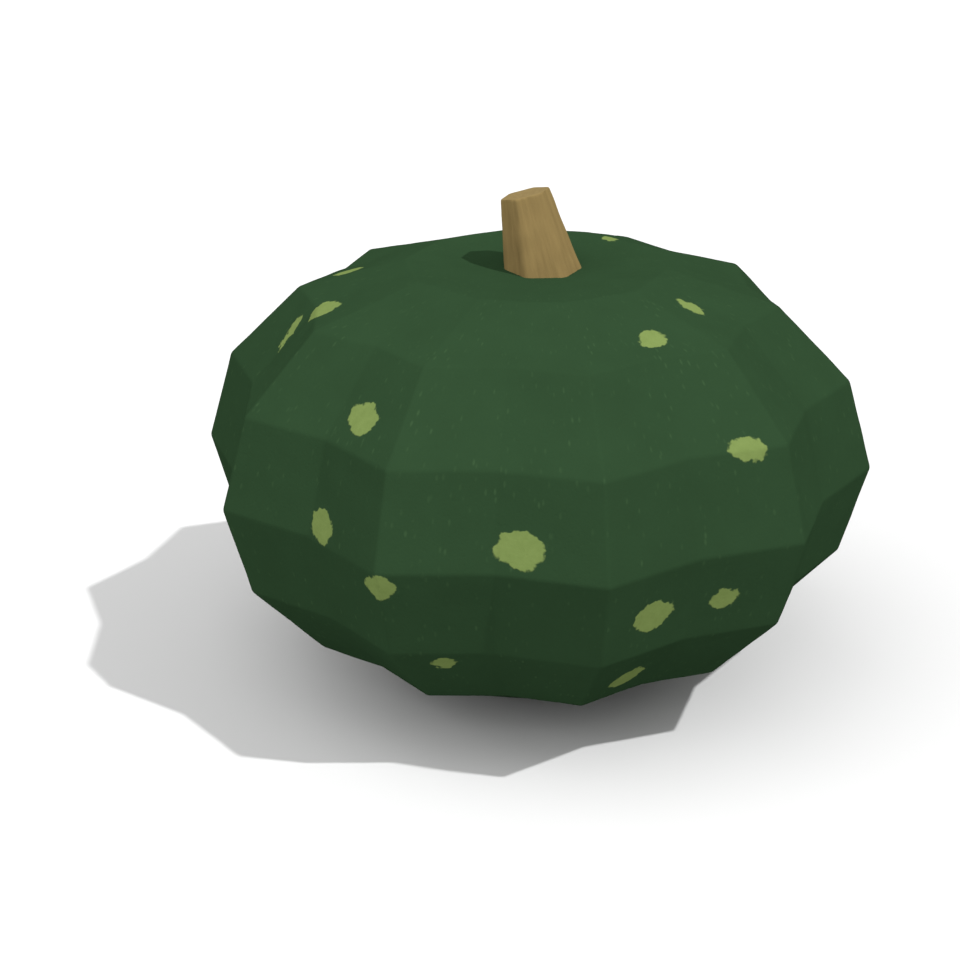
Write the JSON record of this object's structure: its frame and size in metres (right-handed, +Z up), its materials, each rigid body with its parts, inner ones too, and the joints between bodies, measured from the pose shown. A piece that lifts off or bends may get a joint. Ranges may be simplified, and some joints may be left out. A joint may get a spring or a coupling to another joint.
{
  "type": "kabocha squash",
  "caption": "Squat lobed winter squash in flat facets, dark green with pale spots, with a short leaning stem cut off at its end; it rests on a small flat foot",
  "frame": {"origin": "middle of the foot that the fruit rests on", "axes": "+Z up along the fruit's axis, -Y the front"},
  "size_m": [0.1772, 0.1764, 0.135],
  "materials": {
    "rind": "hard dark green rind with pale green spots, satin",
    "cork": "dry corky stem, matte"
  },
  "bodies": {
    "root": {"fruit": "rind", "stem": "cork"}
  },
  "joints": []
}
